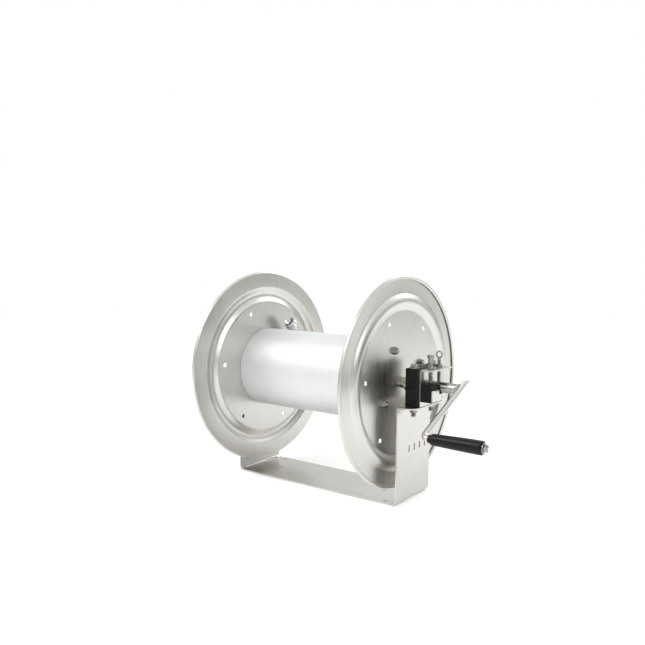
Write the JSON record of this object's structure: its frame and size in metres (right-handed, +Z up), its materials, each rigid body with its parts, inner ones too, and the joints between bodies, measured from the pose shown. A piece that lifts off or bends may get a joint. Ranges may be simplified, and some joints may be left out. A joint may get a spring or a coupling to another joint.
{
  "type": "hose reel",
  "caption": "Manual hose reel: a stainless drum with pressed end discs, turned by a bent crank in split bearing blocks on a strap frame, with a friction brake and an inlet swivel.",
  "frame": {"origin": "centre of the frame's underside, on the floor, midway between the uprights", "axes": "+X along the drum axis toward the crank, +Y across the frame to the back, +Z up"},
  "size_m": [0.7923, 0.457, 0.4805],
  "materials": {
    "brushed_stainless": "satin brushed stainless sheet and rod",
    "barrel_stainless": "pale satin stainless tube",
    "polished_fitting": "polished stainless pipe fittings",
    "shaft_steel": "turned bright bar",
    "zinc_hardware": "stainless bolts and nuts",
    "black_nylon": "machined black nylon",
    "grip_plastic": "moulded black plastic with a soft gloss",
    "brass": "machined brass",
    "seal_rubber": "black nitrile"
  },
  "bodies": {
    "base": {"frame_strap": "brushed_stainless", "bearing_lower_crank": "black_nylon", "bearing_upper_crank": "black_nylon", "bearing_lower_inlet": "black_nylon", "bearing_upper_inlet": "black_nylon", "clamp_bolt_crank_front": "zinc_hardware", "clamp_bolt_crank_back": "zinc_hardware", "clamp_bolt_inlet_front": "zinc_hardware", "clamp_bolt_inlet_back": "zinc_hardware", "clamp_nut_crank_front": "zinc_hardware", "clamp_nut_crank_back": "zinc_hardware", "clamp_nut_inlet_front": "zinc_hardware", "clamp_nut_inlet_back": "zinc_hardware", "brake_bracket": "brushed_stainless", "brake_nut_front": "zinc_hardware", "brake_nut_back": "zinc_hardware"},
    "drum": {"disc_crank": "brushed_stainless", "disc_inlet": "brushed_stainless", "barrel": "barrel_stainless", "end_plate_crank": "brushed_stainless", "end_plate_inlet": "brushed_stainless", "tie_rod_1": "zinc_hardware", "tie_rod_2": "zinc_hardware", "tie_rod_3": "zinc_hardware", "tie_rod_4": "zinc_hardware", "tie_nut_crank_1": "zinc_hardware", "tie_nut_crank_2": "zinc_hardware", "tie_nut_crank_3": "zinc_hardware", "tie_nut_crank_4": "zinc_hardware", "tie_nut_inlet_1": "zinc_hardware", "tie_nut_inlet_2": "zinc_hardware", "tie_nut_inlet_3": "zinc_hardware", "tie_nut_inlet_4": "zinc_hardware", "axle_crank": "shaft_steel", "axle_inlet": "shaft_steel", "shaft_collar_crank": "shaft_steel", "shaft_collar_inlet": "shaft_steel", "feed_pipe": "polished_fitting", "outlet_elbow": "polished_fitting", "outlet_coupling": "polished_fitting", "crank_rod": "brushed_stainless", "grip_washer": "zinc_hardware", "grip_nut": "zinc_hardware"},
    "grip": {"grip": "grip_plastic"},
    "swivel": {"swivel_body": "brass", "swivel_seal": "seal_rubber", "swivel_port": "brass"},
    "brake": {"brake_saddle": "black_nylon", "brake_keeper": "brushed_stainless"},
    "screw_front": {"brake_screw_front": "zinc_hardware"},
    "screw_back": {"brake_screw_back": "zinc_hardware"}
  },
  "joints": [
    {"name": "drum_spin", "type": "hinge", "parent": "base", "child": "drum", "pos_m": [0, 0, 0.252], "axis": [1, 0, 0], "continuous": true},
    {"name": "grip_spin", "type": "hinge", "parent": "drum", "child": "grip", "pos_m": [0.41, -0.14712, 0.18183], "axis": [1, 0, 0], "continuous": true},
    {"name": "swivel_spin", "type": "hinge", "parent": "base", "child": "swivel", "pos_m": [-0.29, 0, 0.252], "axis": [1, 0, 0], "continuous": true},
    {"name": "brake_screw_front_turn", "type": "hinge", "parent": "brake", "child": "screw_front", "pos_m": [0.275, -0.018, 0.252], "axis": [0, 0, 1], "range_deg": [-720, 0]},
    {"name": "brake_screw_back_turn", "type": "hinge", "parent": "brake", "child": "screw_back", "pos_m": [0.275, 0.018, 0.252], "axis": [0, 0, 1], "range_deg": [-720, 0]},
    {"name": "brake_lift", "type": "slide", "parent": "base", "child": "brake", "axis": [0, 0, 1], "range_m": [-0.0025, 0]}
  ],
  "couplings": [
    {"joint": "brake_screw_front_turn", "follows": "brake_lift", "rad_per_m": 5026.5},
    {"joint": "brake_screw_back_turn", "follows": "brake_lift", "rad_per_m": 5026.5}
  ]
}
